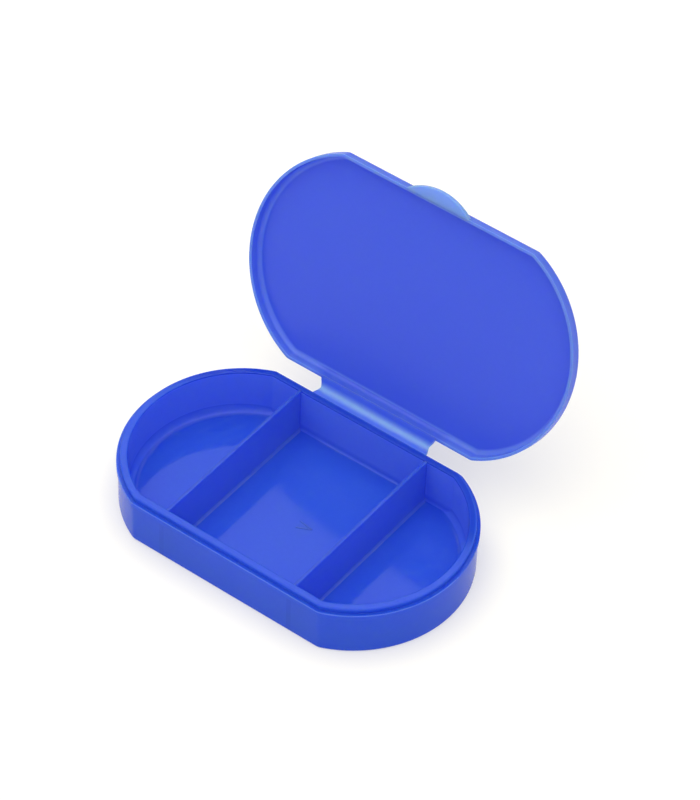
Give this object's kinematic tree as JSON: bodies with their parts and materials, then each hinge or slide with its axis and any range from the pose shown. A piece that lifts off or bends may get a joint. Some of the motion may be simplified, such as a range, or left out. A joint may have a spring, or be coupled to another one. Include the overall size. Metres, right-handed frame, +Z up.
{
  "type": "pill box",
  "caption": "Stadium-shaped pill box with divided tray, raised lip and a living-hinge lid with a thumb tab.",
  "frame": {"origin": "middle of the tray's underside, on the resting face", "axes": "+X along the box's length, -Y to the front where the thumb tab is, +Z up"},
  "size_m": [0.083, 0.0741, 0.0624],
  "materials": {
    "tray": "satin translucent polypropylene, royal blue",
    "lid": "satin translucent polypropylene, royal blue",
    "web": "thin, stretched translucent polypropylene, pale blue"
  },
  "bodies": {
    "tray": {"floor": "tray", "front_wall": "tray", "back_wall": "tray", "left_end_wall": "tray", "right_end_wall": "tray", "rim_ledge": "tray", "rim_lip": "tray", "left_divider": "tray", "right_divider": "tray", "base_hinge_leaf": "tray", "hinge_web": "web"},
    "lid": {"lid_hinge_leaf": "lid", "lid_panel": "lid", "lid_skirt": "lid", "thumb_tab": "lid"}
  },
  "joints": [
    {"name": "lid_hinge", "type": "hinge", "parent": "tray", "child": "lid", "pos_m": [0, 0.0272, 0.0113], "axis": [-1, 0, 0], "range_deg": [-111.5, 68.5], "deforming": ["hinge_web"]}
  ]
}
